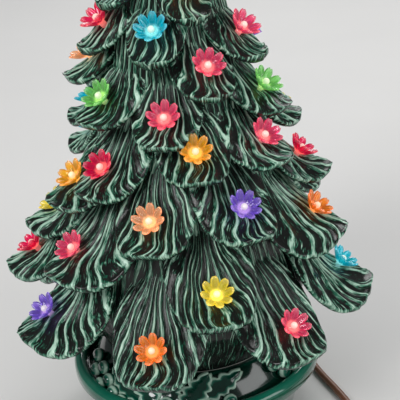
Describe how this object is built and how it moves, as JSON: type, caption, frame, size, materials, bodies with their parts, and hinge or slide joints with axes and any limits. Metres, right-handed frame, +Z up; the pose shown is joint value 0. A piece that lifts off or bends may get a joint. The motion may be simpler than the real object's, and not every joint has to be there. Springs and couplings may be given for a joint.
{
  "type": "ceramic christmas tree",
  "caption": "Lit ceramic tabletop christmas tree: hollow branched cone with plug-in flower lights and a star, on a holly dish base with a lamp and cord.",
  "frame": {"origin": "middle of the foot ring, on the surface that the base stands on", "axes": "+Z up along the tree's axis, -Y towards the front"},
  "size_m": [0.3271, 0.2799, 0.4514],
  "materials": {
    "base_glaze": "glossy emerald green glaze, darker where it pools",
    "tree_glaze": "glossy dark green glaze with pale mint ridge crests",
    "star_plastic": "clear coloured plastic",
    "brass": "plain",
    "steel": "zinc plated",
    "holder_phenolic": "moulded black",
    "fibre": "vulcanised fibre",
    "solder": "solder bead",
    "bulb_glass": "clear",
    "filament": "drawn wire",
    "cord": "smooth brown vinyl",
    "tie": "flat band",
    "cord_fittings": "moulded brown",
    "wheel_plastic": "moulded brown, knurled",
    "light_red": "clear coloured plastic, lit from inside",
    "light_pink": "clear coloured plastic, lit from inside",
    "light_orange": "clear coloured plastic, lit from inside",
    "light_amber": "clear coloured plastic, lit from inside",
    "light_peach": "clear coloured plastic, lit from inside",
    "light_yellow": "clear coloured plastic, lit from inside",
    "light_green": "clear coloured plastic, lit from inside",
    "light_cyan": "clear coloured plastic, lit from inside",
    "light_purple": "clear coloured plastic, lit from inside"
  },
  "bodies": {
    "base_body": {"base": "base_glaze", "nipple": "brass", "washers": "steel", "locknuts": "steel", "lamp_holder": "holder_phenolic", "insulator_disc": "fibre", "screw_shell": "brass", "centre_contact": "brass", "cord_bushing": "holder_phenolic", "inner_lead": "cord", "cord_lead": "cord", "cord_free": "cord", "cord_coil": "cord", "coil_tie": "tie", "plug_body": "cord_fittings", "plug_blades": "brass", "switch_base": "cord_fittings", "switch_cover": "cord_fittings", "switch_screw": "steel"},
    "tree": {"tree_shell": "tree_glaze", "branches_lower": "tree_glaze", "branches_middle": "tree_glaze", "branches_upper": "tree_glaze", "branches_top": "tree_glaze", "lights_red": "light_red", "lights_pink": "light_pink", "lights_orange": "light_orange", "lights_amber": "light_amber", "lights_peach": "light_peach", "lights_yellow": "light_yellow", "lights_green": "light_green", "lights_cyan": "light_cyan", "lights_purple": "light_purple", "star_topper": "star_plastic"},
    "bulb": {"bulb_tip": "solder", "bulb_cap": "brass", "bulb_glass": "bulb_glass", "bulb_stem": "bulb_glass", "bulb_filament": "filament"},
    "wheel": {"switch_wheel": "wheel_plastic"}
  },
  "joints": [
    {"name": "tree_lift", "type": "slide", "parent": "base_body", "child": "tree", "axis": [0, 0, 1], "range_m": [0, 0.12]},
    {"name": "bulb_turn", "type": "hinge", "parent": "base_body", "child": "bulb", "pos_m": [0, 0, 0.08], "axis": [0, 0, 1], "continuous": true},
    {"name": "switch_turn", "type": "hinge", "parent": "base_body", "child": "wheel", "pos_m": [0.01198, 0.12776, 0.007], "axis": [0, 0, 1], "continuous": true}
  ]
}
